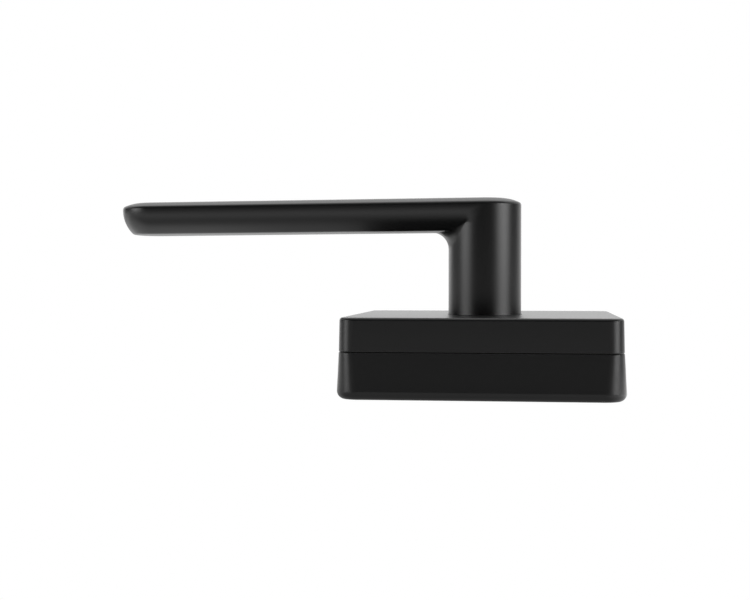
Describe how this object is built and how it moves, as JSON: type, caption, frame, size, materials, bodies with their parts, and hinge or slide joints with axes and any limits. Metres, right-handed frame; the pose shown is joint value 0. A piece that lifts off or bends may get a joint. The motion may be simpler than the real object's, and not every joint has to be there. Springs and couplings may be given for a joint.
{
  "type": "door lever handle",
  "caption": "Black door lever handle: a rounded flat lever on a round neck, turning in a square two-part rose with a sprung return.",
  "frame": {"origin": "centre of the rose's back face, on the spindle axis and midway between the two through-bolt threads", "axes": "+Z along the spindle axis, away from the door; the lever's blade points to -X at rest; Y completes the frame. On an upright door the part is turned so that Z is level and Y is upright, with +Y down, which puts the grub screw underneath"},
  "size_m": [0.1552, 0.0814, 0.0589],
  "materials": {
    "black_finish": "satin black, fine and even",
    "black_steel": "black oxide",
    "sintered_steel": "sintered, matte grey",
    "spring_steel": "oil-tempered",
    "zinc_plated": "zinc plated",
    "brass_insert": "turned brass",
    "black_polymer": "acetal, matte",
    "black_rubber": "moulded rubber"
  },
  "bodies": {
    "root": {"rose_cover": "black_finish", "rose_base": "black_finish", "neck_bearing": "black_polymer", "neck_seal": "black_rubber", "bearing_plate": "zinc_plated", "plate_screws": "black_steel", "rear_bush": "black_polymer", "thrust_washer": "zinc_plated", "return_spring": "spring_steel", "spring_post": "zinc_plated", "stop_pins": "zinc_plated", "stop_buffers": "black_rubber", "threaded_inserts": "brass_insert", "cover_screws": "black_steel", "back_gasket": "black_rubber"},
    "lever": {"lever": "black_finish", "grub_screw": "black_steel", "spring_driver": "sintered_steel", "retaining_ring": "spring_steel", "disc_spring": "spring_steel"}
  },
  "joints": [
    {"name": "lever_turn", "type": "hinge", "parent": "root", "child": "lever", "pos_m": [0, 0, 0.012], "axis": [0, 0, 1], "range_deg": [-45, 45], "stiffness_Nm_per_rad": 1.5, "deforming": ["return_spring"]}
  ]
}
